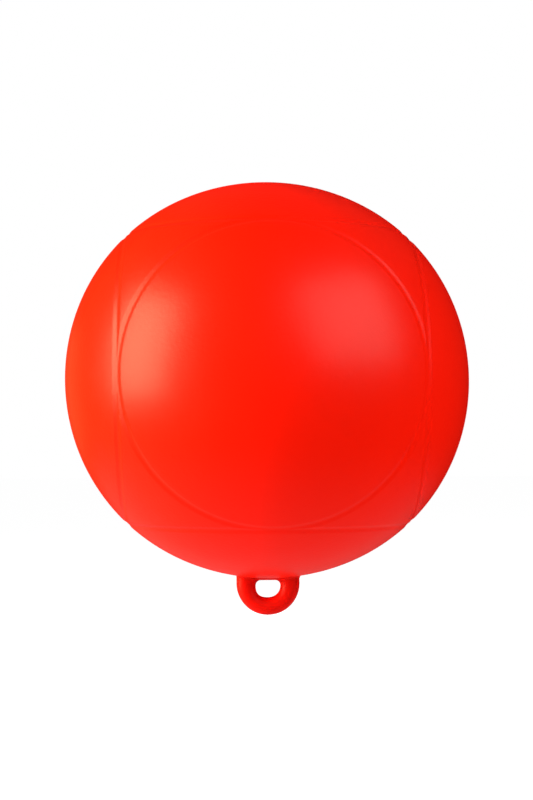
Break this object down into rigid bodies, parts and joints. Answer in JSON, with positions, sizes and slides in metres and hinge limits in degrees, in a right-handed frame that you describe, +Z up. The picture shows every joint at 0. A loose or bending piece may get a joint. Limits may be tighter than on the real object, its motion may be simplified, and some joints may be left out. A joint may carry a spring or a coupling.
{
  "type": "slalom buoy",
  "caption": "Inflatable vinyl ball that marks a water-ski slalom course, with grooved circles round its skin, a moulded rope eye below and a screw valve on its underside.",
  "frame": {"origin": "the ball's centre, which lies at the waterline", "axes": "+Z up, the rope eye hangs along -Z with its hole along Y, the valve is on the +Y side of the underside"},
  "size_m": [0.2286, 0.2286, 0.245],
  "materials": {
    "vinyl": "satin moulded vinyl",
    "valve_nylon": "moulded nylon",
    "valve_rubber": "smooth rubber"
  },
  "bodies": {
    "buoy": {"float_shell": "vinyl", "rope_eye": "vinyl", "valve_seat": "valve_nylon", "valve_washer": "valve_rubber"},
    "screw": {"valve_screw": "valve_nylon"}
  },
  "joints": [
    {"name": "valve_screw_out", "type": "slide", "parent": "buoy", "child": "screw", "axis": [0, 0.4695, -0.8829], "range_m": [0, 0.012]}
  ]
}
